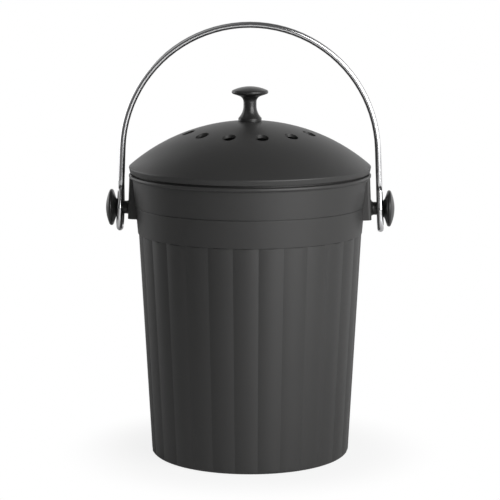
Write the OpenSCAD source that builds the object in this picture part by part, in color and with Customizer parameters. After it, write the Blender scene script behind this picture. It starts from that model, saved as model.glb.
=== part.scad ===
// Compost caddy: a drafted pail with a reeded wall and a plain collar, a vented
// dome lid with a pull knob and a charcoal filter, and a wire bail that swings
// on the necks of two side knobs. Millimetres, +Z up, the front faces -Y, and
// the origin is the middle of the base.

/* [Pail] */
// Height of the pail to its lip
pail_h = 228.6; // [210:0.2:250]
// Diameter over the reeds at the base
base_d = 159.8; // [150:0.2:166]
// Radius of the rounded edge round the base
base_round = 5; // [3:0.5:7]
// Radius of the rounding inside, where the wall meets the floor
inside_round = 4; // [2:0.5:6]
// Thickness of the reeded wall
wall = 2.6; // [2:0.1:3.2]
// Width of the pail's rim, from the mouth to the outside of the lip
rim_w = 5.3; // [4.9:0.1:6.9]
// Thickness of the pail's floor
floor_t = 3; // [2:0.1:5]
// Width of the foot ring that the pail stands on
foot_w = 6; // [4:0.5:12]
// Height of the hollow under the floor, inside the foot ring
foot_rise = 1.2; // [0.5:0.1:2]

/* [Reeds] */
// Number of reeds round the wall
reed_count = 28; // [20:1:40]
// Depth of the valleys between the reeds
reed_depth = 0.85; // [0.4:0.05:1.4]
// How far the reeds' crests lie in from the collar's lower edge
reed_inset = 0.45; // [0.2:0.05:1]
// Radius of the rounding at the reeds' upper ends
reed_end_round = 1.2; // [0.6:0.1:1.5]

/* [Collar] */
// Height of the plain collar, from the reeds' ends to the lip
collar_h = 48.1; // [40:0.1:60]
// Draft of the collar below its upper band, in degrees
collar_draft = 4.6; // [0:0.1:6]
// Height of the collar's upper band, with the lip
band_h = 25.6; // [15:0.1:35]
// Draft of the upper band, in degrees
band_draft = 5.6; // [0:0.1:7]
// How far the upper band stands out from the lower one
band_step = 0.4; // [0.2:0.1:0.8]
// Diameter of the lip
lip_d = 193.8; // [188:0.2:200]
// How far the lip stands out from the upper band
lip_reach = 2.5; // [1.5:0.1:3]
// Height of the lip
lip_h = 3; // [2.4:0.1:5]
// Radius of the lip's rounded edges
lip_round = 1; // [0.4:0.1:1.2]

/* [Ears] */
// How far each ear's face stands out past the lip, on the pivot line
ear_past = 0.1; // [0:0.1:1.5]
// Width of each ear, front to back
ear_w = 29; // [24:0.5:34]
// How far the pivot line lies below the pail's lip
pivot_drop = 28.6; // [26:0.2:32]
// How far each ear goes on below the pivot line
ear_drop = 7.8; // [7.6:0.1:12]
// Lean of the ear's face, foot outwards, in degrees
ear_lean = 2.4; // [0:0.1:4]
// Radius of the ear's upright edges
ear_round = 2.5; // [1:0.5:4]
// Margin of the flat on the ear's face round a side knob's foot
ear_flat_margin = 0.5; // [0.2:0.1:0.6]
// Gap round a washer in its pocket inside the ear
ear_pocket_gap = 0.5; // [0.2:0.1:1]
// Thickness of the ear between the flat and the pocket
ear_seat_t = 3.4; // [2.5:0.1:4]

/* [Lid] */
// How far the lid's edge lies in from the pail's lip
lid_inset = 0.1; // [0:0.1:1]
// Height of the lid's upright edge up to the dome
lid_edge_h = 4.8; // [4:0.1:8]
// Radius of the dome
dome_r = 148; // [135:1:180]
// Thickness of the lid's wall
lid_wall = 2.4; // [1.8:0.1:3]
// Radius of the rounding between the edge and the dome
lid_round = 1.3; // [0.6:0.1:2]
// Radius of the rounding under the edge, at the seam
seam_round = 0.6; // [0.2:0.1:1]
// Depth of the ring that plugs the pail's mouth
plug_h = 9; // [6:0.5:14]
// Thickness of the plug ring
plug_t = 2; // [1.6:0.1:3]
// Gap between the plug ring and the pail's wall
plug_gap = 0.7; // [0.4:0.1:1.5]
// How much of the plug ring's root belongs to the dome
plug_root = 0.3; // [0.2:0.1:1]
// Thickness of the lid's middle where the knob is screwed on
hub_t = 3.4; // [3:0.1:6]
// Margin of the lid's middle flats round the knob's foot
hub_margin = 0.7; // [0.3:0.1:2]

/* [Vents] */
// Number of vent holes
vent_count = 12; // [6:1:16]
// Diameter of a vent hole
vent_d = 10.5; // [6:0.5:12]
// Diameter of the ring of vent holes
vent_ring_d = 99; // [80:1:106]
// Angle of the first vent from the front
vent_turn = 13; // [0:1:29]

/* [Knobs] */
// Diameter of a knob's cap
knob_d = 29.2; // [24:0.2:32]
// Radius of the cap's domed face
cap_r = 33; // [28:1:45]
// Radius of the cap's rounded rim
cap_round = 1.6; // [1:0.1:2]
// Rise of the cap's underside from the throat to the rim, in degrees
cap_rise = 19; // [10:1:25]
// Radius of the throat between the cap and the neck
throat_r = 5; // [4:0.5:6]
// Diameter of a knob's neck
neck_d = 10.4; // [10:0.1:11]
// Height of the lid knob
lid_knob_h = 27.8; // [26:0.1:34]
// Radius of the flare from the lid knob's neck to its foot
flare_r = 14; // [10:0.5:16]
// Diameter of the lid knob's foot
lid_foot_d = 18.6; // [17.6:0.2:19]
// Height of the upright edge round the lid knob's foot
lid_foot_h = 2.6; // [1.5:0.1:4]
// Radius of the fillet at a side knob's foot
side_fillet_r = 2; // [1.9:0.1:2.4]
// Diameter of a side knob's foot
side_foot_d = 14; // [13.6:0.1:14.4]
// Height of the upright edge round a side knob's foot
side_foot_h = 0.6; // [0.4:0.1:1]

/* [Screws] */
// Diameter of the screws
screw_d = 5; // [4:0.5:5]
// Length of a screw under its head
screw_l = 12; // [9:0.5:13]
// Diameter of a screw's head
head_d = 9.6; // [8:0.1:10]
// Height of a screw's head
head_h = 3.2; // [2.4:0.1:3.6]
// Length of the cross cut in a screw's head
cross_l = 5; // [3:0.1:6]
// Width of the cross cut
cross_w = 1; // [0.8:0.1:1.4]
// Depth of the cross cut
cross_depth = 1.6; // [1:0.1:2]
// Radius of the rounding on a screw's head
head_round = 1.6; // [0.8:0.1:2]
// Diameter of a washer
washer_d = 12; // [11:0.1:12.4]
// Thickness of a washer
washer_t = 1; // [0.8:0.1:1.6]
// Outer diameter of the threaded inserts in the knobs
insert_d = 7; // [6.6:0.1:7.4]
// Length of the threaded inserts
insert_l = 8; // [6:0.5:9]
// How far a socket goes on past its insert
socket_past = 1.5; // [1:0.5:3]
// Gap round a screw in the hole it passes through
screw_gap = 0.25; // [0.1:0.05:0.5]
// Gap round an insert in its socket, and round a screw in its insert
thread_gap = 0.05; // [0.02:0.01:0.1]

/* [Bail] */
// Diameter of the bail's wire
wire_d = 5; // [4:0.5:6]
// Distance from an ear's face to the middle of the wire, on the pivot line
loop_out = 7.15; // [7:0.05:9]
// How far the middle of the wire lies past the end of a side knob's neck, in its throat
loop_over = 0.65; // [0:0.05:0.65]
// Height of the arch's centre above the pivot line
arch_lift = 44; // [38:0.5:60]
// Angle above the arch's centre where the arch passes into the bail's two ends
arch_end = 13; // [10:1:14]
// Spread of the bail's legs, in degrees
leg_flare = 2.3; // [1.5:0.1:3]
// Gap between a loop and the neck it turns on
loop_gap = 0.4; // [0.3:0.05:0.8]
// Length of a loop's straight sides below the pivot line
loop_drop = 8.4; // [4:0.2:12]
// Angle at which a loop's sides close above the neck
loop_close = 24; // [20:1:28]
// Bend where the leg runs into its loop
loop_bend = 12; // [8:1:16]
// Gap between the wire's cut end and the leg
end_gap = 0.2; // [0.1:0.05:1]

/* [Filter] */
// Diameter of the charcoal filter
filter_d = 121; // [115:1:122]
// Thickness of the charcoal filter
filter_t = 8; // [5:0.5:10]
// Gap round the filter in its cage
filter_gap = 0.7; // [0.4:0.1:1.2]
// Gap between the cage's rim and the dome
cage_top_gap = 3.3; // [2.5:0.1:5]
// Height of the cage
cage_h = 9.5; // [8:0.1:10]
// Wall of the cage
cage_wall = 1.6; // [1.4:0.1:2]
// Thickness of the cage's floor
cage_floor_t = 1.6; // [1.2:0.1:2]
// Number of spokes in the cage's floor
spoke_count = 12; // [8:1:16]
// Number of rings in the cage's floor, inside its rim
grille_rings = 3; // [2:1:5]
// Width of the spokes and rings
spoke_w = 3; // [2:0.5:4]
// Thickness of the ring that holds the cage
cage_ring_t = 2; // [1.8:0.1:2.4]
// Thickness of the glue between that ring and the dome
glue_t = 0.05; // [0.02:0.01:0.1]
// Running gap between the cage and its ring
cage_gap = 0.35; // [0.3:0.05:0.4]
// Number of bayonet lugs on the cage
lug_count = 3; // [3:1:4]
// Angle that one lug takes up
lug_angle = 18; // [12:1:20]
// How far a lug reaches out from the cage
lug_reach = 1.4; // [1.2:0.1:1.6]
// Height of a lug
lug_h = 2; // [1.6:0.1:2.4]
// Height of the ledges that the lugs rest on
ledge_h = 2; // [1.6:0.1:2.4]
// Angle that a ledge goes on past its lug at each end
ledge_past = 1; // [0:0.5:2]

/* [Hidden] */
$fn = 96;

plastic = [0.2, 0.2, 0.2];
knob_black = [0.13, 0.13, 0.13];
chrome = [0.8, 0.8, 0.82];
steel = [0.6, 0.6, 0.62];
brass = [0.75, 0.6, 0.3];
charcoal = [0.25, 0.25, 0.27];

// A cut or a joining piece goes this far past the face that it crosses
past = 1;

// Facets across one reed
reed_steps = 10;
// How far the form that rounds the reeds off lies outside them, at the base and at their ends
base_skin = 0.5;
end_skin = 0.1;
reed_half = 180 / reed_count;
reed_h = pail_h - collar_h;

// Heights up the pail
floor_z = foot_rise + floor_t;
band_z = pail_h - band_h;
lip_z = pail_h - lip_h;
pivot_z = pail_h - pivot_drop;

// Radii down the pail's outside
lip_r = lip_d / 2;
band_top_r = lip_r - lip_reach;
band_low_r = band_top_r - (lip_z - band_z) * tan(band_draft);
collar_top_r = band_low_r - band_step;
collar_low_r = collar_top_r - (band_z - reed_h) * tan(collar_draft);
reed_top_r = collar_low_r - reed_inset;
base_r = base_d / 2;
foot_r = base_r - base_round;
reed_taper = reed_top_r / base_r;

// Radii of the cavity: at the mouth, at the reeds' ends and at the level of the base
mouth_top_r = lip_r - rim_w;
inside_mid_r = reed_top_r - wall;
inside_low_r = base_r - wall;

// The ears, and the planes that the side knobs and their washers sit on
ear_reach = lip_r + ear_past;
ear_flat_d = side_foot_d + 2 * ear_flat_margin;
ear_pocket_d = washer_d + 2 * ear_pocket_gap;
knob_x = ear_reach - ear_flat_d / 2 * tan(ear_lean);
washer_x = knob_x - ear_seat_t;

// Places up the lid
lid_r = lip_r - lid_inset;
lid_edge_x = lid_r - lid_round;
lid_edge_z = pail_h + lid_edge_h;
dome_z = lid_edge_z - sqrt(pow(dome_r - lid_round, 2) - pow(lid_edge_x, 2));
dome_under_r = dome_r - lid_wall;
hub_d = lid_foot_d + 2 * hub_margin;
hub_z = dome_z + sqrt(pow(dome_r, 2) - pow(hub_d / 2, 2));
hub_under_z = hub_z - hub_t;
plug_x = mouth_top_r - plug_gap;
plug_top_z = dome_z + sqrt(pow(dome_under_r, 2) - pow(plug_x, 2)) - plug_root;

// The cage under the lid, and the ring that carries it
cage_r = filter_d / 2 + filter_gap + cage_wall;
cage_z = dome_z + sqrt(pow(dome_under_r, 2) - pow(cage_r, 2)) - cage_top_gap - cage_h;
ledge_r = cage_r + cage_gap;
ring_r = cage_r + lug_reach + cage_gap;
lug_z = cage_z + ledge_h;
ledge_angle = lug_angle + 2 * ledge_past;

// The knobs: the middles of the arcs round the rim and in the throat, below the cap's top
neck_r = neck_d / 2;
rim_x = knob_d / 2 - cap_round;
cap_drop = cap_r - sqrt(pow(cap_r - cap_round, 2) - pow(rim_x, 2));
throat_x = neck_r + throat_r;
throat_drop = cap_drop + ((rim_x - throat_x) * sin(cap_rise) + cap_round + throat_r) / cos(cap_rise);
side_knob_h = ear_reach + loop_out - knob_x - loop_over + throat_drop;
socket_h = insert_l + socket_past;

// The bail: radius of its loops round the necks, and the lengths of the wire's straights
wire_r = wire_d / 2;
joint_r = wire_r + 0.01;
loop_r = neck_r + loop_gap + wire_r;
loop_side = (loop_r * cos(loop_close) - loop_bend * (1 - cos(loop_close))) / sin(loop_close);
end_side = ((neck_r + loop_gap) * (1 + cos(2 * loop_close)) - end_gap) / sin(2 * loop_close);
arch_r = (ear_reach + loop_out - arch_lift * tan(leg_flare)) * cos(leg_flare);
leg_top = arch_lift + arch_r * sin(leg_flare);
leg_l = leg_top / cos(leg_flare) - (loop_r + loop_bend) * sin(loop_close)
    - loop_side * cos(loop_close);

// Radius of the pail's mouth at a depth below the lip
function mouth_r(depth) = mouth_top_r - depth * (mouth_top_r - inside_mid_r) / collar_h;

// Radius of the arc across one reed whose crest lies at the radius r
function reed_arc(r) = let (v = r - reed_depth)
    (v * v + r * r - 2 * v * r * cos(reed_half)) / (2 * (r - v * cos(reed_half)));
// Angle from the nearest crest
function from_crest(t) = t - round(t / (2 * reed_half)) * 2 * reed_half;
// Radius of the reeded outline at an angle a from its nearest crest
function reed_at(a, r) = let (arc = reed_arc(r), d = r - arc)
    d * cos(a) + sqrt(arc * arc - pow(d * sin(a), 2));

function unit(v) = v / norm(v);
// Half the angle at the corner p between its neighbours a and b
function half_angle(p, a, b) = acos(unit(a - p) * unit(b - p)) / 2;
// Where an arc of radius r that rounds the corner p leaves the side to a
function arc_end(p, a, b, r) = p + unit(a - p) * r / tan(half_angle(p, a, b));
// Middle of that arc
function arc_middle(p, a, b, r) = p + unit(unit(a - p) + unit(b - p)) * r / sin(half_angle(p, a, b));

// Polygon of [x, y, radius] corners: a radius above 0 rounds an outer corner,
// and one below 0 fills an inner corner
module rounded(corners) {
    n = len(corners);
    flat = [for (c = corners) [c[0], c[1]]];
    cut = [for (i = [0:n - 1])
        let (p = flat[i], a = flat[(i + n - 1) % n], b = flat[(i + 1) % n], r = abs(corners[i][2]))
        each r == 0 ? [p] : [arc_end(p, a, b, r), arc_end(p, b, a, r)]];
    difference() {
        union() {
            polygon(cut);
            for (i = [0:n - 1]) if (corners[i][2] > 0)
                translate(arc_middle(flat[i], flat[(i + n - 1) % n], flat[(i + 1) % n], corners[i][2]))
                    circle(r = corners[i][2]);
        }
        for (i = [0:n - 1]) if (corners[i][2] < 0)
            translate(arc_middle(flat[i], flat[(i + n - 1) % n], flat[(i + 1) % n], -corners[i][2]))
                circle(r = -corners[i][2]);
    }
}

// Puts its children on the left or the right pivot, with +Z pointing outwards
module at_pivot(side, x) {
    translate([side * x, 0, pivot_z]) rotate([0, side * 90, 0]) children();
}

// Outline of the reeded wall at the base
module reeded_outline() {
    count = reed_count * reed_steps;
    polygon([for (i = [0:count - 1])
        let (t = i * 360 / count) reed_at(from_crest(t), base_r) * [sin(t), -cos(t)]]);
}

// The reeded wall as a solid: drafted, and rounded off round the base and at the reeds' ends
module reeded_body() {
    intersection() {
        linear_extrude(reed_h, scale = reed_taper) reeded_outline();
        rotate_extrude() rounded([
            [0, 0, 0],
            [base_r + base_skin, 0, base_round],
            [reed_top_r + end_skin, reed_h, reed_end_round],
            [0, reed_h, 0]
        ]);
    }
}

// The plain collar with its two bands and the lip
module collar() {
    core_r = inside_mid_r - past;
    rotate_extrude() rounded([
        [core_r, reed_h - past, 0],
        [inside_mid_r + past, reed_h - past, 0],
        [inside_mid_r + past, reed_h, 0],
        [collar_low_r, reed_h, 0],
        [collar_top_r, band_z, 0],
        [band_low_r, band_z, 0],
        [band_top_r, lip_z, 0],
        [lip_r, lip_z, lip_round],
        [lip_r, pail_h, lip_round],
        [core_r, pail_h, 0]
    ]);
}

// The flat-faced boss under the lip that a side knob is screwed to
module ear() {
    depth = ear_reach - inside_mid_r + past;
    translate([ear_reach, 0, pivot_z]) rotate([0, -ear_lean, 0])
        translate([0, 0, -ear_drop]) linear_extrude(lip_z + past / 2 - pivot_z + ear_drop) {
            translate([-depth, -ear_w / 2]) square([depth - ear_round, ear_w]);
            translate([-depth, ear_round - ear_w / 2]) square([depth, ear_w - 2 * ear_round]);
            for (y = [-1, 1]) translate([-ear_round, y * (ear_w / 2 - ear_round)])
                circle(r = ear_round);
        }
}

// What is cut from an ear: the knob's flat, the screw hole and the inside pocket
module ear_cuts(side) {
    at_pivot(side, knob_x) cylinder(d = ear_flat_d, h = ear_reach);
    at_pivot(side, washer_x - past) cylinder(d = screw_d + 2 * screw_gap, h = ear_seat_t + 2 * past);
    at_pivot(side, inside_mid_r - 3 * past)
        cylinder(d = ear_pocket_d, h = washer_x - inside_mid_r + 3 * past);
}

// The inside of the pail
module cavity() {
    low_r = inside_low_r + (inside_mid_r - inside_low_r) * floor_z / reed_h;
    rotate_extrude() rounded([
        [0, floor_z, 0],
        [low_r, floor_z, inside_round],
        [inside_mid_r, reed_h, 0],
        [mouth_top_r, pail_h, 0],
        [mouth_top_r, pail_h + past, 0],
        [0, pail_h + past, 0]
    ]);
}

module pail() {
    color(plastic) difference() {
        union() {
            reeded_body();
            collar();
            ear();
            mirror([1, 0, 0]) ear();
        }
        cavity();
        translate([0, 0, -past]) cylinder(r = foot_r - foot_w, h = foot_rise + past);
        for (side = [-1, 1]) ear_cuts(side);
    }
}

// A knob's cap and throat, down to its neck, for a knob of height h
module cap_profile(h) {
    rim_y = h - cap_drop;
    throat_y = h - throat_drop;
    down = [sin(cap_rise), -cos(cap_rise)];
    rim_side = [0, h - cap_r] + unit([rim_x, cap_r - cap_drop]) * (cap_r + past);
    difference() {
        polygon([
            [0, throat_y],
            [neck_r, throat_y],
            [throat_x, throat_y] - throat_r * down,
            [rim_x, rim_y] + cap_round * down,
            [rim_x, rim_y],
            [0, rim_y]
        ]);
        translate([throat_x, throat_y]) circle(r = throat_r);
    }
    translate([rim_x, rim_y]) circle(r = cap_round);
    intersection() {
        translate([0, h - cap_r]) circle(r = cap_r);
        polygon([[0, rim_y], [rim_x, rim_y], rim_side, [0, rim_side[1] + cap_r]]);
    }
}

// A knob's foot and neck: an upright edge, then an arc in to the neck
module foot_profile(h, foot_d, edge_h, flare) {
    flare_x = neck_r + flare;
    flare_y = edge_h + sqrt(flare * flare - pow(flare_x - foot_d / 2, 2));
    difference() {
        polygon([
            [0, 0],
            [foot_d / 2, 0],
            [foot_d / 2, edge_h],
            [neck_r, flare_y],
            [neck_r, h - throat_drop + past / 2],
            [0, h - throat_drop + past / 2]
        ]);
        translate([flare_x, flare_y]) circle(r = flare);
    }
}

// A mushroom knob that stands on the XY plane, with the socket for its insert
module knob(h, foot_d, edge_h, flare) {
    rotate_extrude() difference() {
        union() {
            cap_profile(h);
            foot_profile(h, foot_d, edge_h, flare);
        }
        translate([0, -past]) square([insert_d / 2 + thread_gap, socket_h + past]);
    }
}

// A threaded insert that stands on the XY plane
module insert() {
    difference() {
        cylinder(d = insert_d, h = insert_l);
        translate([0, 0, -past]) cylinder(d = screw_d + 2 * thread_gap, h = insert_l + 2 * past);
    }
}

// A pan-head screw whose head hangs under the XY plane
module screw() {
    cylinder(d = screw_d, h = screw_l);
    difference() {
        rotate_extrude() rounded([
            [0, -head_h, 0],
            [head_d / 2, -head_h, head_round],
            [head_d / 2, 0, 0],
            [0, 0, 0]
        ]);
        for (turn = [0, 90]) rotate(turn)
            translate([-cross_l / 2, -cross_w / 2, -head_h - past])
                cube([cross_l, cross_w, cross_depth + past]);
    }
}

module washer() {
    difference() {
        cylinder(d = washer_d, h = washer_t);
        translate([0, 0, -past]) cylinder(d = screw_d + 2 * screw_gap, h = washer_t + 2 * past);
    }
}

module pivot_knob(side) {
    color(knob_black) at_pivot(side, knob_x)
        knob(side_knob_h, side_foot_d, side_foot_h, side_fillet_r);
}

module pivot_insert(side) {
    color(brass) at_pivot(side, knob_x) insert();
}

module pivot_screw(side) {
    color(steel) at_pivot(side, washer_x - washer_t) screw();
}

module pivot_washer(side) {
    color(steel) at_pivot(side, washer_x - washer_t) washer();
}

// Bends a length of wire, starting up +Z: each move is [roll, straight, bend radius,
// bend angle], and a bend turns towards +X as the rolls have left it. A ball a hair
// wider than the wire joins each length to the one before
module wire(moves, i = 0) {
    if (i < len(moves)) {
        straight = moves[i][1];
        bend = moves[i][2];
        angle = moves[i][3];
        rotate(moves[i][0]) {
            if (i > 0) sphere(r = joint_r);
            if (straight > 0) cylinder(r = wire_r, h = straight);
            if (angle > 0) translate([0, 0, straight]) {
                if (straight > 0) sphere(r = joint_r);
                translate([bend, 0]) rotate([90, 0, 180]) rotate_extrude(angle = angle)
                    translate([bend, 0]) circle(r = wire_r);
            }
            translate([bend * (1 - cos(angle)), 0, straight + bend * sin(angle)])
                rotate([0, angle, 0]) wire(moves, i + 1);
        }
    }
}

// The bail is one wire in three nodes: its arch, and two ends that meet the arch face to face
module bail_arch() {
    color(chrome) translate([0, 0, pivot_z + arch_lift]) rotate([90, 0, 0]) rotate(arch_end)
        rotate_extrude(angle = 180 - 2 * arch_end) translate([arch_r, 0]) circle(r = wire_r);
}

// An end of the bail, from the arch down its leg and round its loop to the cut end
module bail_end(side) {
    color(chrome) scale([side, 1, 1])
        translate([0, 0, pivot_z + arch_lift]) rotate([0, -arch_end, 0]) translate([arch_r, 0, 0])
            rotate([0, 180, 0]) wire([
                [0, 0, arch_r, arch_end - leg_flare],
                [90, leg_l, loop_bend, loop_close],
                [180, loop_side, loop_r, loop_close],
                [0, loop_drop, loop_r, 180],
                [0, loop_drop, loop_r, loop_close],
                [0, end_side, 0, 0]
            ]);
}

// The outside of the lid: the dome, its rounded edge and the upright band
module lid_outline() {
    side = [0, dome_z] + unit([lid_edge_x, lid_edge_z - dome_z]) * (dome_r + past);
    intersection() {
        translate([0, dome_z]) circle(r = dome_r);
        polygon([
            [0, pail_h],
            [lid_edge_x, pail_h],
            [lid_edge_x, lid_edge_z],
            side,
            [0, side[1] + dome_r]
        ]);
    }
    translate([lid_edge_x, lid_edge_z]) circle(r = lid_round);
    rounded([
        [lid_edge_x - lid_wall, pail_h, 0],
        [lid_r, pail_h, seam_round],
        [lid_r, lid_edge_z, 0],
        [lid_edge_x - lid_wall, lid_edge_z, 0]
    ]);
}

// The plug ring's root and the hub under the dome, up to the middle of the shell's wall
module lid_inside() {
    intersection() {
        translate([0, dome_z]) circle(r = dome_r - lid_wall / 2);
        union() {
            translate([plug_x - plug_t, plug_top_z]) square([plug_t, hub_z - plug_top_z]);
            translate([0, hub_under_z]) square([hub_d / 2, hub_t]);
        }
    }
}

module lid() {
    color(plastic) difference() {
        rotate_extrude() {
            difference() {
                lid_outline();
                intersection() {
                    translate([0, dome_z]) circle(r = dome_under_r);
                    translate([0, pail_h - past]) square([lid_r - lid_wall, dome_r]);
                }
                translate([0, hub_z]) square([lid_r, hub_t]);
            }
            lid_inside();
        }
        for (i = [0:vent_count - 1]) rotate(vent_turn + i * 360 / vent_count)
            translate([0, -vent_ring_d / 2, lid_edge_z]) cylinder(d = vent_d, h = dome_r);
        translate([0, 0, hub_under_z - past]) cylinder(d = screw_d + 2 * screw_gap, h = hub_t + 2 * past);
    }
}

// The ring that plugs the pail's mouth, below its root
module lid_plug() {
    plug_low_x = mouth_r(plug_h) - plug_gap;
    color(plastic) rotate_extrude() polygon([
        [plug_x - plug_t, plug_top_z],
        [plug_x - plug_t, pail_h],
        [plug_low_x - plug_t, pail_h - plug_h],
        [plug_low_x, pail_h - plug_h],
        [plug_x, pail_h],
        [plug_x, plug_top_z]
    ]);
}

module lid_knob() {
    color(knob_black) translate([0, 0, hub_z]) knob(lid_knob_h, lid_foot_d, lid_foot_h, flare_r);
}

module lid_knob_insert() {
    color(brass) translate([0, 0, hub_z]) insert();
}

module lid_knob_screw() {
    color(steel) translate([0, 0, hub_under_z - washer_t]) screw();
}

module lid_knob_washer() {
    color(steel) translate([0, 0, hub_under_z - washer_t]) washer();
}

// The ring glued under the dome, with a ledge for each of the cage's lugs
module cage_ring() {
    color(plastic) {
        rotate_extrude() intersection() {
            translate([0, dome_z]) circle(r = dome_under_r - glue_t);
            translate([ring_r, cage_z]) square([cage_ring_t, hub_z - cage_z]);
        }
        for (i = [0:lug_count - 1]) rotate(i * 360 / lug_count - ledge_angle / 2)
            rotate_extrude(angle = ledge_angle) translate([ledge_r, cage_z])
                square([ring_r - ledge_r + cage_ring_t / 2, ledge_h]);
    }
}

// Openings of the cage's floor: rows of ring-shaped slots between the spokes
module grille() {
    low = 4 * spoke_w;
    pitch = (cage_r - cage_wall - spoke_w / 2 - low) / grille_rings;
    for (i = [0:grille_rings - 1]) difference() {
        circle(r = low + (i + 1) * pitch - spoke_w / 2);
        circle(r = low + i * pitch + spoke_w / 2);
        for (j = [0:spoke_count - 1]) rotate(j * 360 / spoke_count)
            translate([-spoke_w / 2, 0]) square([spoke_w, cage_r]);
    }
}

module filter_cage() {
    color(plastic) {
        translate([0, 0, cage_z]) linear_extrude(cage_floor_t) difference() {
            circle(r = cage_r);
            grille();
        }
        rotate_extrude() translate([cage_r - cage_wall, cage_z]) square([cage_wall, cage_h]);
        for (i = [0:lug_count - 1]) rotate(i * 360 / lug_count - lug_angle / 2)
            rotate_extrude(angle = lug_angle) translate([cage_r - cage_wall / 2, lug_z])
                square([lug_reach + cage_wall / 2, lug_h]);
    }
}

module carbon_filter() {
    color(charcoal) translate([0, 0, cage_z + cage_floor_t]) cylinder(d = filter_d, h = filter_t);
}

pail();
bail_arch();
bail_end(-1);  // bail_end_left
bail_end(1);  // bail_end_right
pivot_knob(-1);  // pivot_knob_left
pivot_knob(1);  // pivot_knob_right
pivot_insert(-1);  // pivot_insert_left
pivot_insert(1);  // pivot_insert_right
pivot_screw(-1);  // pivot_screw_left
pivot_screw(1);  // pivot_screw_right
pivot_washer(-1);  // pivot_washer_left
pivot_washer(1);  // pivot_washer_right
lid();
lid_plug();
lid_knob();
lid_knob_insert();
lid_knob_screw();
lid_knob_washer();
cage_ring();
filter_cage();
carbon_filter();
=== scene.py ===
from math import asin, atan2, cos, copysign, hypot, pi, radians, sin, sqrt, tan

import bmesh
import bpy
from mathutils import Matrix, Vector


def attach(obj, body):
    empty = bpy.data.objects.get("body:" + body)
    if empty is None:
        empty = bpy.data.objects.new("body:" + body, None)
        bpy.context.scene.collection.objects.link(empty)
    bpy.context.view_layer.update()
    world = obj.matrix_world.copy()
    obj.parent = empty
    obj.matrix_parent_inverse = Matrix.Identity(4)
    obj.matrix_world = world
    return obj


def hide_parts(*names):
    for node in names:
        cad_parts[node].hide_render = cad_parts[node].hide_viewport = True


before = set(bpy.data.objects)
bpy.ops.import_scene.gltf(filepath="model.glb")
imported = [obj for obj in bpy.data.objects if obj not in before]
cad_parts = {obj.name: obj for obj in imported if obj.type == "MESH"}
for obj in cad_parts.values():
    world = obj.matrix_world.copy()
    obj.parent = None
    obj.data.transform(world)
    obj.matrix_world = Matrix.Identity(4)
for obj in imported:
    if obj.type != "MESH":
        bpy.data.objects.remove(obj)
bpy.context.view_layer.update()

# A kitchen compost caddy: a reeded pail with a banded collar, a lift-off domed lid with vent holes
# and a pull knob, a wire bail on two side knobs, and a charcoal filter in a tray under the lid.

# Sizes are in millimetres until a piece is finished, and its mesh is in metres
MM = 0.001
# Points closer than this are one point
TINY = 0.002
# A cut or a joining piece goes this far past the face that it crosses
PAST = 1.0
# An arc has a side for each of these angles, unless it is given a count
ARC_STEP = radians(10)
# Sides of a full turn
ROD_STEPS = 64
LID_STEPS = 180
KNOB_STEPS = 96
DISC_STEPS = 120
# Faces that meet more sharply than this keep an edge between them
EDGE_CREASE = radians(30)
REED_CREASE = radians(16)

# The pail
PAIL_H = 228.6
BASE_R = 79.9
BASE_ROUND = 5.0
INSIDE_ROUND = 4.0
WALL = 2.6
RIM_W = 5.3
FLOOR_T = 3.0
FOOT_W = 6.0
FOOT_RISE = 1.2
MOUTH_CHAMFER = 0.5

# The reeds
REED_COUNT = 28
REED_DEPTH = 0.85
REED_INSET = 0.45
REED_END_ROUND = 0.8
REED_STEPS = 12
BASE_SKIN = 0.5
END_SKIN = 0.1
WALL_ROWS = 16

# The collar
COLLAR_H = 48.1
COLLAR_DRAFT = radians(4.6)
BAND_H = 25.6
BAND_DRAFT = radians(5.6)
BAND_STEP = 0.4
BAND_LINE_H = 0.9
BAND_LINE_DEPTH = 0.4
LIP_R = 96.9
LIP_REACH = 2.5
LIP_H = 3.6
LIP_ROUND = 1.3
COLLAR_EDGE = 0.25
GROOVE_H = 0.1
GROOVE_SKIN = 1.3

# The ears
EAR_PAST = 0.1
EAR_W = 29.0
PIVOT_DROP = 28.6
EAR_DROP = 7.8
EAR_LEAN = radians(2.4)
EAR_ROUND = 2.5
EAR_EDGE = 0.4
EAR_FLAT_MARGIN = 0.5
EAR_POCKET_GAP = 0.5
EAR_SEAT_T = 3.4

# The lid
LID_INSET = 0.1
LID_EDGE_H = 4.8
DOME_R = 148.0
LID_WALL = 2.4
LID_ROUND = 1.3
LID_TUCK = 0.8
DOME_STEPS = 48
UNDER_STEP = radians(1.2)
CORNER_STEPS = 12
PLUG_H = 9.0
PLUG_T = 2.0
PLUG_GAP = 0.7
PLUG_ROUND = 0.6
HUB_T = 3.4
HUB_MARGIN = 0.7
VENT_COUNT = 12
VENT_R = 5.25
VENT_RING_R = 49.5
VENT_TURN = radians(13)
VENT_STEPS = 48

# The shadow line between the lid and the lip: a gap under the lid's edge, a drop in the lip's outer
# part, and the seat inside them that the lid rests on
SEAM_ROUND = 0.4
SEAM_GAP = 1.0
SEAM_DROP = 0.5
SEAM_DEPTH = 3.6
SEAT_W = 1.8

# The knobs
KNOB_R = 14.6
CAP_R = 33.0
CAP_ROUND = 1.6
CAP_RISE = radians(19)
THROAT_R = 5.0
NECK_R = 5.2
LID_KNOB_H = 27.8
FLARE_R = 14.0
LID_FOOT_R = 9.3
LID_FOOT_H = 2.6
SIDE_FILLET_R = 2.0
SIDE_FOOT_R = 7.0
SIDE_FOOT_H = 0.6
FOOT_EDGE = 0.3

# The fasteners
SCREW_HOLE_R = 2.75
WASHER_R = 6.0
SOCKET_R = 3.55
SOCKET_H = 9.5

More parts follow.
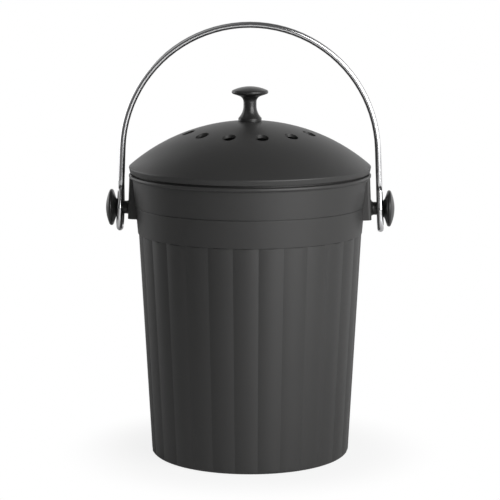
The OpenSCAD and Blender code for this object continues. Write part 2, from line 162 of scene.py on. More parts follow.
# The bail
WIRE_R = 2.5
WIRE_SIDES = 32
LOOP_OUT = 7.15
LOOP_OVER = 0.65
ARCH_LIFT = 44.0
LEG_FLARE = radians(2.3)
LOOP_GAP = 0.4
LOOP_DROP = 8.4
LOOP_CLOSE = radians(24)
LOOP_BEND = 12.0
END_GAP = 0.2
WIRE_CHAMFER = 0.4
WIDE_BEND_R = 50.0
WIDE_BEND_STEP = radians(4)
BEND_STEP = radians(8)
BEND_STEPS_MIN = 6

# The charcoal filter, and the ring that is glued under the dome and holds the filter's tray
FILTER_R = 60.5
FILTER_T = 8.0
FILTER_ROUND = 1.0
FILTER_GAP = 0.7
TRAY_WALL = 1.6
TRAY_TOP_GAP = 3.3
TRAY_H = 9.5
TRAY_FLOOR_T = 1.6
TRAY_RING_T = 2.0
GLUE_T = 0.05
TRAY_GAP = 0.35
LUG_COUNT = 3
LUG_REACH = 1.4
LEDGE_H = 2.0
LEDGE_ANGLE = radians(20)
LEDGE_STEPS = 10

# What follows from those sizes
REED_H = PAIL_H - COLLAR_H
FLOOR_Z = FOOT_RISE + FLOOR_T
BAND_Z = PAIL_H - BAND_H
LIP_Z = PAIL_H - LIP_H
PIVOT_Z = PAIL_H - PIVOT_DROP
BAND_TOP_R = LIP_R - LIP_REACH
BAND_LOW_R = BAND_TOP_R - (LIP_Z - BAND_Z) * tan(BAND_DRAFT)
COLLAR_TOP_R = BAND_LOW_R - BAND_STEP
COLLAR_LOW_R = COLLAR_TOP_R - (BAND_Z - REED_H) * tan(COLLAR_DRAFT)
REED_TOP_R = COLLAR_LOW_R - REED_INSET
REED_HALF = pi / REED_COUNT
FOOT_IN_R = BASE_R - BASE_ROUND - FOOT_W
MOUTH_R = LIP_R - RIM_W
INSIDE_MID_R = REED_TOP_R - WALL
GROOVE_R = REED_TOP_R - GROOVE_SKIN
EAR_REACH = LIP_R + EAR_PAST
EAR_FLAT_R = SIDE_FOOT_R + EAR_FLAT_MARGIN
KNOB_X = EAR_REACH - EAR_FLAT_R * tan(EAR_LEAN)
WASHER_X = KNOB_X - EAR_SEAT_T
LID_R = LIP_R - LID_INSET
LID_EDGE_X = LID_R - LID_ROUND
LID_EDGE_Z = PAIL_H + LID_EDGE_H
DOME_Z = LID_EDGE_Z - sqrt((DOME_R - LID_ROUND) ** 2 - LID_EDGE_X ** 2)
DOME_UNDER_R = DOME_R - LID_WALL
HUB_R = LID_FOOT_R + HUB_MARGIN
HUB_Z = DOME_Z + sqrt(DOME_R ** 2 - HUB_R ** 2)
TRAY_R = FILTER_R + FILTER_GAP + TRAY_WALL
TRAY_Z = DOME_Z + sqrt(DOME_UNDER_R ** 2 - TRAY_R ** 2) - TRAY_TOP_GAP - TRAY_H
LEDGE_R = TRAY_R + TRAY_GAP
RING_R = TRAY_R + LUG_REACH + TRAY_GAP
RIM_X = KNOB_R - CAP_ROUND
CAP_DROP = CAP_R - sqrt((CAP_R - CAP_ROUND) ** 2 - RIM_X ** 2)
THROAT_X = NECK_R + THROAT_R
THROAT_DROP = CAP_DROP + (
    (RIM_X - THROAT_X) * sin(CAP_RISE) + CAP_ROUND + THROAT_R) / cos(CAP_RISE)
SIDE_KNOB_H = EAR_REACH + LOOP_OUT - KNOB_X - LOOP_OVER + THROAT_DROP
LOOP_R = NECK_R + LOOP_GAP + WIRE_R
LOOP_SIDE = (LOOP_R * cos(LOOP_CLOSE) - LOOP_BEND * (1 - cos(LOOP_CLOSE))) / sin(LOOP_CLOSE)
END_SIDE = ((NECK_R + LOOP_GAP) * (1 + cos(2 * LOOP_CLOSE)) - END_GAP) / sin(2 * LOOP_CLOSE)
ARCH_R = (EAR_REACH + LOOP_OUT - ARCH_LIFT * tan(LEG_FLARE)) * cos(LEG_FLARE)
LEG_TOP = ARCH_LIFT + ARCH_R * sin(LEG_FLARE)
LEG_L = LEG_TOP / cos(LEG_FLARE) - (LOOP_R + LOOP_BEND) * sin(LOOP_CLOSE) \
    - LOOP_SIDE * cos(LOOP_CLOSE)


# ---- Shaping

class Section:
    """Half of a turned section, drawn in the XZ plane from its first point on."""

    def __init__(self, x, z):
        self.mesh = bmesh.new()
        self.first = self.tip = self.mesh.verts.new((x, 0, z))

    def line(self, x, z):
        """A straight side to a point."""
        end = self.mesh.verts.new((x, 0, z))
        self.mesh.edges.new((self.tip, end))
        self.tip = end

    def arc(self, x, z, turn, steps=None):
        """The tip goes round a point, clockwise as seen from the front."""
        steps = steps or max(3, round(abs(turn) / ARC_STEP))
        made = bmesh.ops.spin(
            self.mesh, geom=[self.tip], cent=(x, 0, z), axis=(0, 1, 0), angle=turn,
            steps=steps, use_merge=False)
        self.tip = next(g for g in made["geom_last"] if isinstance(g, bmesh.types.BMVert))

    def path(self, *corners):
        """Straight sides through (x, z) or (x, z, radius) corners, each rounded by its radius."""
        for corner, after in zip(corners, corners[1:] + corners[-1:]):
            here = Vector(corner[:2])
            if len(corner) == 2:
                self.line(*here)
                continue
            back = (Vector((self.tip.co.x, self.tip.co.z)) - here).normalized()
            on = (Vector(after[:2]) - here).normalized()
            half = back.angle(on) / 2
            self.line(*(here + back * corner[2] / tan(half)))
            middle = here + (back + on).normalized() * corner[2] / sin(half)
            self.arc(*middle, copysign(pi - 2 * half, back.x * on.y - back.y * on.x))

    def close(self):
        self.mesh.edges.new((self.tip, self.first))

    def revolve(self, steps):
        """The solid that the section sweeps round the Z axis, starting at the front."""
        mesh = self.mesh
        bmesh.ops.rotate(
            mesh, verts=mesh.verts, cent=(0, 0, 0), matrix=Matrix.Rotation(-pi / 2, 3, "Z"))
        bmesh.ops.spin(
            mesh, geom=mesh.verts[:] + mesh.edges[:], cent=(0, 0, 0), axis=(0, 0, 1),
            angle=2 * pi, steps=steps, use_merge=True)
        bmesh.ops.remove_doubles(mesh, verts=mesh.verts, dist=TINY)
        bmesh.ops.recalc_face_normals(mesh, faces=mesh.faces)
        return mesh


def rod(mesh, radius, start, end, steps=ROD_STEPS):
    """A round bar between two points."""
    start, end = Vector(start), Vector(end)
    along = end - start
    turn = along.to_track_quat("Z", "Y").to_matrix().to_4x4()
    place = Matrix.Translation((start + end) / 2) @ turn
    bmesh.ops.create_cone(
        mesh, cap_ends=True, segments=steps, radius1=radius, radius2=radius,
        depth=along.length, matrix=place)


def as_object(name, mesh):
    """A bmesh as an object of the scene."""
    data = bpy.data.meshes.new(name)
    mesh.to_mesh(data)
    mesh.free()
    made = bpy.data.objects.new(name, data)
    bpy.context.scene.collection.objects.link(made)
    return made


def combine(base, tool, operation):
    """The base joined with the tool (UNION), or with the tool cut from it (DIFFERENCE)."""
    work, other = as_object("work", base), as_object("tool", tool)
    change = work.modifiers.new("change", "BOOLEAN")
    change.operation = operation
    change.solver = "MANIFOLD"
    change.object = other
    seen = work.evaluated_get(bpy.context.evaluated_depsgraph_get())
    result = bmesh.new()
    result.from_mesh(seen.to_mesh())
    seen.to_mesh_clear()
    for done in (work, other):
        data = done.data
        bpy.data.objects.remove(done)
        bpy.data.meshes.remove(data)
    return result


def finish_piece(name, mesh, material, body, nodes, crease=EDGE_CREASE):
    """A finished piece in metres: smooth but for its real edges, on its body, for its nodes."""
    bmesh.ops.scale(mesh, vec=(MM, MM, MM), verts=mesh.verts)
    made = as_object(name, mesh)
    made.data.materials.append(material)
    made.data.shade_smooth()
    made.data.set_sharp_from_angle(angle=crease)
    evened = made.modifiers.new("even_shading", "WEIGHTED_NORMAL")
    evened.keep_sharp = True
    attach(made, body)
    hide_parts(*nodes)
    return made


def carry_over(name, node, material, body):
    """A merged copy of a CAD node whose shape is right, with smooth round faces."""
    mesh = bmesh.new()
    mesh.from_mesh(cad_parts[node].data)
    bmesh.ops.scale(mesh, vec=(1 / MM,) * 3, verts=mesh.verts)
    bmesh.ops.remove_doubles(mesh, verts=mesh.verts, dist=TINY)
    return finish_piece(name, mesh, material, body, [node])


# ---- Materials

# Blotches of noise to the metre
FLOW_SCALE = 18.0
FILM_SCALE = 60.0
PORE_SCALE = 520.0
DUST_SCALE = 240.0
# How far from the middle of a foam strut its edge runs, as a share of a cell
STRUT_EDGE = (0.02, 0.22)
# The pores' colour is painted shade, standing in for the dark inside the open cells
PORE_SHADE_BLACK = (0.006, 0.006, 0.007)
STRUT_GREY = (0.05, 0.05, 0.053)


class Signal:
    """A socket of a material's nodes, so that shader maths reads as an expression."""

    def __init__(self, tree, socket=None):
        self.tree = tree
        self.socket = socket

    def node(self, kind, settings=None, inputs=None, output=None):
        """Adds a node: its settings first, then the values or links of its sockets.

        It gives the output of that name, or else the node's first one.
        """
        made = self.tree.nodes.new(kind)
        for name, value in (settings or {}).items():
            setattr(made, name, value)
        for key, value in (inputs or {}).items():
            into = made.inputs[key] if isinstance(key, int) else next(
                socket for socket in made.inputs if socket.name == key and socket.enabled)
            if isinstance(value, Signal):
                self.tree.links.new(value.socket, into)
            else:
                into.default_value = value
        if output:
            return Signal(self.tree, made.outputs[output])
        return Signal(self.tree, next((socket for socket in made.outputs if socket.enabled), None))

    def maths(self, operation, *values):
        return self.node("ShaderNodeMath", {"operation": operation}, dict(enumerate(values)))

    def __add__(self, other):
        return self.maths("ADD", self, other)

    __radd__ = __add__

    def __sub__(self, other):
        return self.maths("SUBTRACT", self, other)

    def __rsub__(self, other):
        return self.maths("SUBTRACT", other, self)

    def __mul__(self, other):
        return self.maths("MULTIPLY", self, other)

    __rmul__ = __mul__

    def soft_step(self, low, high):
        """0 below low, 1 above high, and a smooth rise between them."""
        return self.node(
            "ShaderNodeMapRange", {"interpolation_type": "SMOOTHSTEP"},
            {"Value": self, "From Min": low, "From Max": high})


def start_material(name):
    """A new material, the start of its nodes, and the place in metres on the piece."""
    made = bpy.data.materials.new(name)
    made.use_nodes = True
    made.node_tree.nodes.clear()
    start = Signal(made.node_tree)
    return made, start, start.node("ShaderNodeTexCoord", output="Object")


def cloud(place, scale, detail=2.0, roughness=0.5):
    """Soft noise from 0 to 1, with so many blotches to the metre."""
    return place.node(
        "ShaderNodeTexNoise", {},
        {"Vector": place, "Scale": scale, "Detail": detail, "Roughness": roughness})


def blend_colour(share, low, high):
    """From one colour to the other as the share goes from 0 to 1."""
    return share.node(
        "ShaderNodeMix", {"data_type": "RGBA"}, {"Factor": share, "A": (*low, 1), "B": (*high, 1)})


def relief(height, depth, strength):
    """A bump whose height of 1 stands out by a depth in metres."""
    return height.node(
        "ShaderNodeBump", {}, {"Strength": strength, "Distance": depth, "Height": height})


def coat_with(start, sockets):
    """Ends the nodes in a shader with these sockets."""
    shader = start.node("ShaderNodeBsdfPrincipled", {}, sockets)
    start.node("ShaderNodeOutputMaterial", {}, {"Surface": shader})


def moulded_plastic(name, low, high, gloss, grain_scale, grain_depth, grain_strength):
    """Spark-eroded moulded plastic: a fine even grain, with faint clouds in colour and sheen.

    The gloss is the shader's roughness, before its clouds.
    """
    made, start, place = start_material(name)
    grain = cloud(place, grain_scale, detail=3.0, roughness=0.6)
    flow = cloud(place, FLOW_SCALE, detail=3.0)
    coat_with(start, {
        "Base Color": blend_colour(flow * 0.7 + grain * 0.3, low, high),
        "Roughness": gloss + flow * 0.05 + grain * 0.04,
        "Normal": relief(grain, grain_depth, grain_strength),
    })
    return made


def bright_metal(name, low, high, gloss, line_scale, line_depth):
    """Plated or turned metal, with faint clouding and hairlines."""
    made, start, place = start_material(name)
    film = cloud(place, FILM_SCALE, detail=3.0)
    hairline = cloud(place, line_scale, detail=4.0, roughness=0.7)
    coat_with(start, {
        "Base Color": blend_colour(film, low, high),
        "Metallic": 1.0,
        "Roughness": gloss + film * 0.03 + hairline * 0.02,
        "Normal": relief(hairline, line_depth, strength=0.2),
    })
    return made


def charcoal_foam(name):
    """Open-celled charcoal foam: grey struts, with near-black painted shade in the pores between
    them.
    """
    made, start, place = start_material(name)
    cells = start.node(
        "ShaderNodeTexVoronoi", {"feature": "DISTANCE_TO_EDGE"},
        {"Vector": place, "Scale": PORE_SCALE})
    strut = 1 - cells.soft_step(*STRUT_EDGE)
    dust = cloud(place, DUST_SCALE, detail=4.0, roughness=0.7)
    coat_with(start, {
        # The struts take the foam's grey, and the pores the near-black painted shade
        "Base Color": blend_colour(strut * (0.6 + dust * 0.4), PORE_SHADE_BLACK, STRUT_GREY),
        "Roughness": 0.85 + dust * 0.1,
        "Normal": relief(strut, depth=0.0006, strength=0.8),
    })
    return made


body_plastic = moulded_plastic(
    "satin_charcoal_plastic", low=(0.028, 0.028, 0.028), high=(0.034, 0.0335, 0.0325), gloss=0.40,
    grain_scale=2400.0, grain_depth=0.00006, grain_strength=0.12)
knob_plastic = moulded_plastic(
    "smooth_black_plastic", low=(0.016, 0.016, 0.016), high=(0.021, 0.021, 0.0205), gloss=0.26,
    grain_scale=1500.0, grain_depth=0.00003, grain_strength=0.06)
tray_plastic = moulded_plastic(
    "matt_black_plastic", low=(0.020, 0.020, 0.021), high=(0.027, 0.027, 0.028), gloss=0.50,
    grain_scale=2000.0, grain_depth=0.00006, grain_strength=0.15)
bright_wire = bright_metal(
    "bright_plated_wire", low=(0.80, 0.80, 0.81), high=(0.86, 0.86, 0.87), gloss=0.11,
    line_scale=300.0, line_depth=0.00002)
plain_steel = bright_metal(
    "zinc_plated_steel", low=(0.50, 0.50, 0.51), high=(0.62, 0.62, 0.63), gloss=0.26,
    line_scale=900.0, line_depth=0.00004)
turned_brass = bright_metal(
    "turned_brass", low=(0.62, 0.44, 0.18), high=(0.72, 0.53, 0.24), gloss=0.24,
    line_scale=900.0, line_depth=0.00004)
filter_foam = charcoal_foam("charcoal_foam")


# ---- The pail

def reed_r(turn, z):
    """Radius of the reeded wall at an angle from the front and a height up the pail."""
    valley = BASE_R - REED_DEPTH
    across = (valley ** 2 + BASE_R ** 2 - 2 * valley * BASE_R * cos(REED_HALF)) \
        / (2 * (BASE_R - valley * cos(REED_HALF)))
    middle = BASE_R - across
    off = turn - round(turn / (2 * REED_HALF)) * 2 * REED_HALF
    at_base = middle * cos(off) + sqrt(across ** 2 - (middle * sin(off)) ** 2)
    return at_base * (1 + (REED_TOP_R / BASE_R - 1) * z / REED_H)


def pail_outside():
    """The drafted wall with its reeds, the collar's two bands, the lip and the foot ring."""
    half = Section(0, FOOT_RISE)
    half.path(
        (FOOT_IN_R, FOOT_RISE),
        (FOOT_IN_R, 0),
        (BASE_R + BASE_SKIN, 0, BASE_ROUND),
        (REED_TOP_R + END_SKIN, REED_H, REED_END_ROUND),
        (GROOVE_R, REED_H),
        (GROOVE_R, REED_H + GROOVE_H),
        (COLLAR_LOW_R, REED_H + GROOVE_H, COLLAR_EDGE),
        (COLLAR_TOP_R, BAND_Z - BAND_LINE_H, COLLAR_EDGE),
        (COLLAR_TOP_R - BAND_LINE_DEPTH, BAND_Z - BAND_LINE_H / 2),
        (COLLAR_TOP_R - BAND_LINE_DEPTH, BAND_Z),
        (BAND_LOW_R, BAND_Z, COLLAR_EDGE / 2),
        (BAND_TOP_R, LIP_Z),
        (LIP_R, LIP_Z, LIP_ROUND),
        (LIP_R, PAIL_H - SEAM_DROP, LIP_ROUND),
        (LIP_R - SEAM_DEPTH, PAIL_H - SEAM_DROP),
        (LIP_R - SEAM_DEPTH, PAIL_H),
        (0, PAIL_H))
    wall = max(half.mesh.edges, key=lambda side: abs(side.verts[0].co.z - side.verts[1].co.z))
    bmesh.ops.subdivide_edges(half.mesh, edges=[wall], cuts=WALL_ROWS)
    mesh = half.revolve(REED_COUNT * REED_STEPS)
    for vert in mesh.verts:
        away = hypot(vert.co.x, vert.co.y)
        if vert.co.z <= REED_H + TINY and away > BASE_R / 2:
            reach = reed_r(atan2(vert.co.x, -vert.co.y), vert.co.z)
            if away > reach:
                vert.co.x *= reach / away
                vert.co.y *= reach / away
    return mesh


def ear(turn):
    """The flat-faced boss under the lip that a side knob is screwed to."""
    depth = EAR_REACH - INSIDE_MID_R + PAST
    height = LIP_Z + PAST / 2 - PIVOT_Z + EAR_DROP
    mesh = bmesh.new()
    bmesh.ops.create_cube(mesh, size=1)
    bmesh.ops.scale(mesh, vec=(depth, EAR_W, height), verts=mesh.verts)
    bmesh.ops.translate(mesh, vec=(-depth / 2, 0, height / 2 - EAR_DROP), verts=mesh.verts)
    upright = [e for e in mesh.edges if all(v.co.x > -TINY for v in e.verts)
               and abs(e.verts[0].co.y - e.verts[1].co.y) < TINY]
    bmesh.ops.bevel(
        mesh, geom=upright, offset=EAR_ROUND, offset_type="OFFSET", segments=8, profile=0.5,
        affect="EDGES", material=-1)
    foot = [e for e in mesh.edges if all(v.co.z < -EAR_DROP + TINY for v in e.verts)
            and any(v.co.x > TINY - depth for v in e.verts)]
    bmesh.ops.bevel(
        mesh, geom=foot, offset=EAR_EDGE, offset_type="OFFSET", segments=3, profile=0.5,
        affect="EDGES", material=-1)
    lean = Matrix.Rotation(turn, 4, "Z") @ Matrix.Translation((EAR_REACH, 0, PIVOT_Z)) \
        @ Matrix.Rotation(-EAR_LEAN, 4, "Y")
    bmesh.ops.transform(mesh, matrix=lean, verts=mesh.verts)
    return mesh


def pail_inside():
    """The form of the inside, from its rounded floor to the mouth."""
    low_r = BASE_R - WALL + (REED_TOP_R - BASE_R) * FLOOR_Z / REED_H
    half = Section(0, FLOOR_Z)
    half.path(
        (low_r, FLOOR_Z, INSIDE_ROUND),
        (INSIDE_MID_R, REED_H),
        (MOUTH_R, PAIL_H - MOUTH_CHAMFER),
        (MOUTH_R + MOUTH_CHAMFER, PAIL_H),
        (MOUTH_R + MOUTH_CHAMFER, PAIL_H + PAST),
        (0, PAIL_H + PAST))
    return half.revolve(REED_COUNT * REED_STEPS // 2)


def ear_cuts():
    """The knobs' flats, the screw holes and the washers' pockets, for both ears."""
    flats, holes, pockets = bmesh.new(), bmesh.new(), bmesh.new()
    for side in (-1, 1):
        rod(flats, EAR_FLAT_R, (side * KNOB_X, 0, PIVOT_Z), (side * 2 * KNOB_X, 0, PIVOT_Z))
        rod(holes, SCREW_HOLE_R, (side * (WASHER_X - PAST), 0, PIVOT_Z),
            (side * (KNOB_X + PAST), 0, PIVOT_Z))
        rod(pockets, WASHER_R + EAR_POCKET_GAP, (side * (INSIDE_MID_R - 3 * PAST), 0, PIVOT_Z),
            (side * WASHER_X, 0, PIVOT_Z))
    return flats, holes, pockets


pail_mesh = pail_outside()
for turn in (0, pi):
    pail_mesh = combine(pail_mesh, ear(turn), "UNION")
for removed in (pail_inside(), *ear_cuts()):
    pail_mesh = combine(pail_mesh, removed, "DIFFERENCE")
finish_piece(
    "pail_moulding", pail_mesh, body_plastic, "pail", ["pail"], REED_CREASE)


# ---- The lid

def dome_under(x):
    """Height of the dome's underside at a distance from the axis."""
    return DOME_Z + sqrt(DOME_UNDER_R ** 2 - x ** 2)


def under_to(half, start_x, end_x, drop=0):
    """The section goes along the dome's underside, or a drop below it."""
    radius = DOME_UNDER_R - drop
    turn = asin(end_x / radius) - asin(start_x / radius)
    half.arc(0, DOME_Z, turn, max(2, round(abs(turn) / UNDER_STEP)))


def lid_shell():
    """The dome, its edge, the seat on the lip, the plug ring and the hub, as one section."""
    plug_x = MOUTH_R - PLUG_GAP
    plug_low_x = plug_x - PLUG_H * (MOUTH_R - INSIDE_MID_R) / COLLAR_H
    outer_x = LID_R - LID_WALL
    corner = atan2(LID_EDGE_X, LID_EDGE_Z - DOME_Z)
    tuck = atan2(LID_TUCK, LID_EDGE_H)
    half = Section(SCREW_HOLE_R, HUB_Z)
    half.line(HUB_R, HUB_Z)
    half.arc(0, DOME_Z, corner - asin(HUB_R / DOME_R), DOME_STEPS)
    half.arc(LID_EDGE_X, LID_EDGE_Z, pi / 2 - corner + tuck, CORNER_STEPS)
    half.path(
        (LID_R - LID_TUCK, PAIL_H + SEAM_GAP, SEAM_ROUND),
        (outer_x, PAIL_H + SEAM_GAP),
        (outer_x, dome_under(outer_x)))
    under_to(half, outer_x, plug_x + SEAT_W)
    half.path(
        (plug_x + SEAT_W, PAIL_H),
        (plug_x, PAIL_H),
        (plug_low_x, PAIL_H - PLUG_H, PLUG_ROUND),
        (plug_low_x - PLUG_T, PAIL_H - PLUG_H, PLUG_ROUND),
        (plug_x - PLUG_T, PAIL_H),
        (plug_x - PLUG_T, dome_under(plug_x - PLUG_T)))
    under_to(half, plug_x - PLUG_T, HUB_R)
    half.path((HUB_R, HUB_Z - HUB_T), (SCREW_HOLE_R, HUB_Z - HUB_T))
    half.close()
    return half.revolve(LID_STEPS)


def tray_ring():
    """The ring that is glued under the dome, and holds the tray."""
    outer_r = RING_R + TRAY_RING_T
    glued_r = DOME_UNDER_R - GLUE_T
    half = Section(RING_R, TRAY_Z)
    half.path((RING_R, DOME_Z + sqrt(glued_r ** 2 - RING_R ** 2)))
    under_to(half, RING_R, outer_r, GLUE_T)
    half.path((outer_r, TRAY_Z))
    half.close()
    return half.revolve(LID_STEPS)


def tray_ledges():
    """The three ledges inside the ring, which the tray's lugs rest on."""
    mesh = bmesh.new()
    for i in range(LUG_COUNT):
        corners = [mesh.verts.new((x, 0, z)) for x, z in (
            (LEDGE_R, TRAY_Z), (RING_R + TRAY_RING_T / 2, TRAY_Z),
            (RING_R + TRAY_RING_T / 2, TRAY_Z + LEDGE_H), (LEDGE_R, TRAY_Z + LEDGE_H))]
        end = mesh.faces.new(corners)
        bmesh.ops.rotate(
            mesh, verts=corners, cent=(0, 0, 0),
            matrix=Matrix.Rotation(i * 2 * pi / LUG_COUNT - LEDGE_ANGLE / 2, 3, "Z"))
        bmesh.ops.spin(
            mesh, geom=[end, *end.edges, *corners], cent=(0, 0, 0), axis=(0, 0, 1),
            angle=LEDGE_ANGLE, steps=LEDGE_STEPS, use_merge=False)
    bmesh.ops.recalc_face_normals(mesh, faces=mesh.faces)
    return mesh


def vent_holes():
    """The upright bars that the vent holes are cut with."""
    mesh = bmesh.new()
    for i in range(VENT_COUNT):
        turn = VENT_TURN + i * 2 * pi / VENT_COUNT
        x, y = VENT_RING_R * sin(turn), -VENT_RING_R * cos(turn)
        rod(mesh, VENT_R, (x, y, LID_EDGE_Z), (x, y, DOME_Z + DOME_R), VENT_STEPS)
    return mesh


finish_piece(
    "lid_moulding", combine(lid_shell(), vent_holes(), "DIFFERENCE"), body_plastic, "lid",
    ["lid", "lid_plug"])
finish_piece(
    "tray_holding_ring", combine(tray_ring(), tray_ledges(), "UNION"), body_plastic, "lid",
    ["cage_ring"])


# ---- The knobs

def mushroom(height, foot_r, foot_h, flare):
    """A knob that stands on the XY plane: cap, throat, neck, flared foot and socket."""
    rim_z = height - CAP_DROP
    throat_z = height - THROAT_DROP
    cap_turn = atan2(RIM_X, CAP_R - CAP_DROP)
    flare_x = NECK_R + flare
    flare_z = foot_h + sqrt(flare ** 2 - (flare_x - foot_r) ** 2)
    half = Section(0, height)
    half.arc(0, height - CAP_R, cap_turn, steps=16)
    half.arc(RIM_X, rim_z, pi - CAP_RISE - cap_turn, steps=14)
    half.line(THROAT_X - THROAT_R * sin(CAP_RISE), throat_z + THROAT_R * cos(CAP_RISE))
    half.arc(THROAT_X, throat_z, CAP_RISE - pi / 2, steps=10)
    half.line(NECK_R, flare_z)
    half.arc(flare_x, flare_z, -asin((flare_z - foot_h) / flare), steps=10)
    half.path(
        (foot_r, foot_h - TINY),
        (foot_r, 0, FOOT_EDGE),
        (SOCKET_R, 0),
        (SOCKET_R, SOCKET_H),
        (0, SOCKET_H))
    return half.revolve(KNOB_STEPS)


lid_knob_mesh = mushroom(LID_KNOB_H, LID_FOOT_R, LID_FOOT_H, FLARE_R)
bmesh.ops.translate(lid_knob_mesh, vec=(0, 0, HUB_Z), verts=lid_knob_mesh.verts)
finish_piece("lid_pull_knob", lid_knob_mesh, knob_plastic, "lid", ["lid_knob"])

for hand, side in (("left", -1), ("right", 1)):
    knob_mesh = mushroom(SIDE_KNOB_H, SIDE_FOOT_R, SIDE_FOOT_H, SIDE_FILLET_R)
    outwards = Matrix.Translation((side * KNOB_X, 0, PIVOT_Z)) \
        @ Matrix.Rotation(side * pi / 2, 4, "Y")
    bmesh.ops.transform(knob_mesh, matrix=outwards, verts=knob_mesh.verts)
    finish_piece(
        f"{hand}_side_knob", knob_mesh, knob_plastic, "pail",
        [f"pivot_knob_{hand}"])
    carry_over(
        f"{hand}_side_knob_insert", f"pivot_insert_{hand}", turned_brass, "pail")
    carry_over(
        f"{hand}_side_knob_screw", f"pivot_screw_{hand}", plain_steel, "pail")
    carry_over(
        f"{hand}_side_knob_washer", f"pivot_washer_{hand}", plain_steel, "pail")

carry_over("lid_pull_insert", "lid_knob_insert", turned_brass, "lid")
carry_over("lid_pull_screw", "lid_knob_screw", plain_steel, "lid")
carry_over("lid_pull_washer", "lid_knob_washer", plain_steel, "lid")


# ---- The bail

def bent_wire(place, moves):
    """A length of wire from place on. Each move is (roll, straight, bend radius, bend angle)."""
    mesh = bmesh.new()
    ring = bmesh.ops.create_circle(mesh, segments=WIRE_SIDES, radius=WIRE_R, matrix=place)["verts"]
    ends = list({edge for vert in ring for edge in vert.link_edges})
    for roll, straight, bend, angle in moves:
        place = place @ Matrix.Rotation(roll, 4, "Z")
        if straight:
            made = bmesh.ops.extrude_edge_only(mesh, edges=ends)["geom"]
            ring = [g for g in made if isinstance(g, bmesh.types.BMVert)]
            bmesh.ops.translate(
                mesh, vec=place.to_3x3() @ Vector((0, 0, straight)), verts=ring)
            ends = [e for e in {e for v in ring for e in v.link_edges}
                    if all(v in ring for v in e.verts)]
            place = place @ Matrix.Translation((0, 0, straight))
        if angle:
            step = WIDE_BEND_STEP if bend > WIDE_BEND_R else BEND_STEP
            made = bmesh.ops.spin(
                mesh, geom=ends + ring, cent=place @ Vector((bend, 0, 0)),
                axis=place.to_3x3() @ Vector((0, 1, 0)), angle=angle,
                steps=max(BEND_STEPS_MIN, round(angle / step)), use_merge=False)["geom_last"]
            ring = [g for g in made if isinstance(g, bmesh.types.BMVert)]
            ends = [g for g in made if isinstance(g, bmesh.types.BMEdge)]
            place = place @ Matrix.Translation((bend, 0, 0)) @ Matrix.Rotation(angle, 4, "Y") \
                @ Matrix.Translation((-bend, 0, 0))
    cap = bmesh.ops.edgeloop_fill(mesh, edges=ends)["faces"]
    bmesh.ops.bevel(
        mesh, geom=[e for face in cap for e in face.edges], offset=WIRE_CHAMFER,
        offset_type="OFFSET", segments=2, profile=0.5, affect="EDGES", material=-1)
    return mesh


top = Matrix.Translation((0, 0, PIVOT_Z + ARCH_LIFT + ARCH_R)) @ Matrix.Rotation(pi / 2, 4, "Y")
bail_mesh = bent_wire(top, [
    (0, 0, ARCH_R, pi / 2 - LEG_FLARE),
    (pi / 2, LEG_L, LOOP_BEND, LOOP_CLOSE),
    (pi, LOOP_SIDE, LOOP_R, LOOP_CLOSE),
    (0, LOOP_DROP, LOOP_R, pi),
    (0, LOOP_DROP, LOOP_R, LOOP_CLOSE),
    (0, END_SIDE, 0, 0),
])
bmesh.ops.mirror(
    bail_mesh, geom=bail_mesh.verts[:] + bail_mesh.edges[:] + bail_mesh.faces[:],
    axis="X", merge_dist=TINY)
bmesh.ops.remove_doubles(bail_mesh, verts=bail_mesh.verts, dist=TINY)
bmesh.ops.recalc_face_normals(bail_mesh, faces=bail_mesh.faces)
finish_piece(
    "bail_wire", bail_mesh, bright_wire, "bail",
    ["bail_arch", "bail_end_left", "bail_end_right"])


# ---- The filter

disc = Section(0, TRAY_Z + TRAY_FLOOR_T)
disc.path(
    (FILTER_R, TRAY_Z + TRAY_FLOOR_T, FILTER_ROUND),
    (FILTER_R, TRAY_Z + TRAY_FLOOR_T + FILTER_T, FILTER_ROUND),
    (0, TRAY_Z + TRAY_FLOOR_T + FILTER_T))
foam = finish_piece(
    "charcoal_disc", disc.revolve(DISC_STEPS), filter_foam, "filter",
    ["carbon_filter"])
carry_over("filter_tray", "filter_cage", tray_plastic, "filter")


# ---- The stage

# The floor, in metres: its white share near the caddy, and where that rises to all white
FLOOR_R = 3.0
FLOOR_SIDES = 96
FLOOR_GREY = 0.82
WHITE_NEAR = 0.86
FADE = (0.085, 0.16)
# Its brightness in mirrors, at the right of the caddy only
MIRRORED_FLOOR = 0.6
MIRRORED_FADE = (0.1, 0.7)

# Brightness of the room in mirrors: in front, at the right, high at the left and behind. Each
# follows from the way that a ray goes, as the pairs say.
ROOM_FRONT = 0.09
ROOM_RIGHT = 0.28
RIGHT_FADE = (0.2, 0.9)
ROOM_HIGH_LEFT = 0.5
HIGH_LEFT_FADE = (0.9, 1.4)
HIGH_LEFT_END = (-0.5, 0.2)
ROOM_BACK = 1.0
BACK_FADE = (-0.5, 1.0)
BACK_FALL = 0.8
# Brightness of the room's soft light
AMBIENT = 0.12
# What the lamps face, on the caddy's axis
LAMP_AIM_Z = 0.2


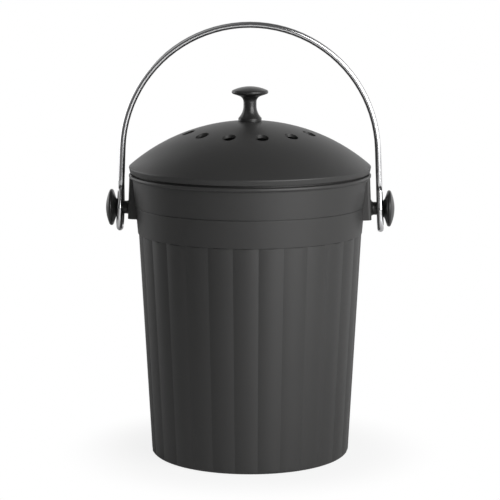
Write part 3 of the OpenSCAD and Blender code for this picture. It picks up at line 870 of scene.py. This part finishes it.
def white_floor():
    """A pale floor that keeps the shadow under the caddy and runs out into white."""
    mesh = bmesh.new()
    bmesh.ops.create_circle(mesh, cap_ends=True, segments=FLOOR_SIDES, radius=FLOOR_R)
    floor = as_object("floor", mesh)
    made, start, place = start_material("white_floor")
    seen, mirrored = (
        start.node("ShaderNodeLightPath", output=ray) for ray in ("Is Camera Ray", "Is Glossy Ray"))
    right = start.node("ShaderNodeSeparateXYZ", {}, {"Vector": place}, "X")
    away = start.node("ShaderNodeVectorMath", {"operation": "LENGTH"}, {0: place}, "Value")
    plain = start.node("ShaderNodeBsdfDiffuse", {}, {"Color": (FLOOR_GREY,) * 3 + (1,)})
    white = start.node("ShaderNodeEmission", {}, {"Color": (1, 1, 1, 1), "Strength": 1.0})
    share = seen * (WHITE_NEAR + (1 - WHITE_NEAR) * away.soft_step(*FADE)) \
        + mirrored * right.soft_step(*MIRRORED_FADE) * MIRRORED_FLOOR
    both = start.node("ShaderNodeMixShader", {}, {0: share, 1: plain, 2: white})
    start.node("ShaderNodeOutputMaterial", {}, {"Surface": both})
    floor.data.materials.append(made)


def studio_world():
    """White behind everything that is seen. In mirrors, a dim room with pale walls."""
    world = bpy.data.worlds.new("studio")
    bpy.context.scene.world = world
    world.use_nodes = True
    world.node_tree.nodes.clear()
    start = Signal(world.node_tree)
    way = start.node("ShaderNodeTexCoord", output="Generated")
    right, back, up = (
        start.node("ShaderNodeSeparateXYZ", {}, {"Vector": way}, axis) for axis in "XYZ")
    seen, mirrored, through = (
        start.node("ShaderNodeLightPath", output=ray)
        for ray in ("Is Camera Ray", "Is Glossy Ray", "Is Transmission Ray"))
    back_wall = (back - up * BACK_FALL).soft_step(*BACK_FADE)
    high_left = (up - right).soft_step(*HIGH_LEFT_FADE) * (1 - back.soft_step(*HIGH_LEFT_END))
    room = ROOM_FRONT + (ROOM_BACK - ROOM_FRONT) * back_wall \
        + ROOM_RIGHT * right.soft_step(*RIGHT_FADE) + ROOM_HIGH_LEFT * high_left
    strength = seen + through + mirrored * room + (1 - seen - through - mirrored) * AMBIENT
    light = start.node(
        "ShaderNodeBackground", {}, {"Color": (1, 1, 1, 1), "Strength": strength})
    start.node("ShaderNodeOutputWorld", {}, {"Surface": light})


def softbox(name, azimuth, height, distance, width, tall, watts):
    """A soft lamp that faces the caddy, in metres. Azimuth 0 is the front, and 90 the right."""
    lamp = bpy.data.lights.new(name, "AREA")
    lamp.shape = "RECTANGLE"
    lamp.size, lamp.size_y = width, tall
    lamp.energy = watts
    made = bpy.data.objects.new(name, lamp)
    bpy.context.scene.collection.objects.link(made)
    made.location = (distance * sin(radians(azimuth)), -distance * cos(radians(azimuth)), height)
    aim = Vector((0, 0, LAMP_AIM_Z)) - made.location
    made.rotation_euler = aim.to_track_quat("-Z", "Y").to_euler()


white_floor()
studio_world()
softbox("right_softbox", azimuth=41, height=0.7, distance=1.5, width=1.35, tall=1.2, watts=27)
softbox("left_softbox", azimuth=-120, height=0.6, distance=1.6, width=0.8, tall=1.3, watts=5)


# ---- The camera

CAMERA_AZIMUTH = radians(2.15)
CAMERA_AWAY = 1.6373
CAMERA_HEIGHT = 0.4292
CAMERA_PITCH = radians(9.148)
CAMERA_LENS = 148.13
CAMERA_SENSOR = 36.0
CAMERA_SIGHT = 20.0

camera = bpy.data.cameras.new("camera")
camera.sensor_width = CAMERA_SENSOR
camera.lens = CAMERA_LENS
camera.clip_end = CAMERA_SIGHT
eye = bpy.data.objects.new("camera", camera)
bpy.context.scene.collection.objects.link(eye)
eye.location = (
    CAMERA_AWAY * sin(CAMERA_AZIMUTH), -CAMERA_AWAY * cos(CAMERA_AZIMUTH), CAMERA_HEIGHT)
eye.rotation_euler = (pi / 2 - CAMERA_PITCH, 0, CAMERA_AZIMUTH)
bpy.context.scene.camera = eye
bpy.context.scene.view_settings.view_transform = "Standard"
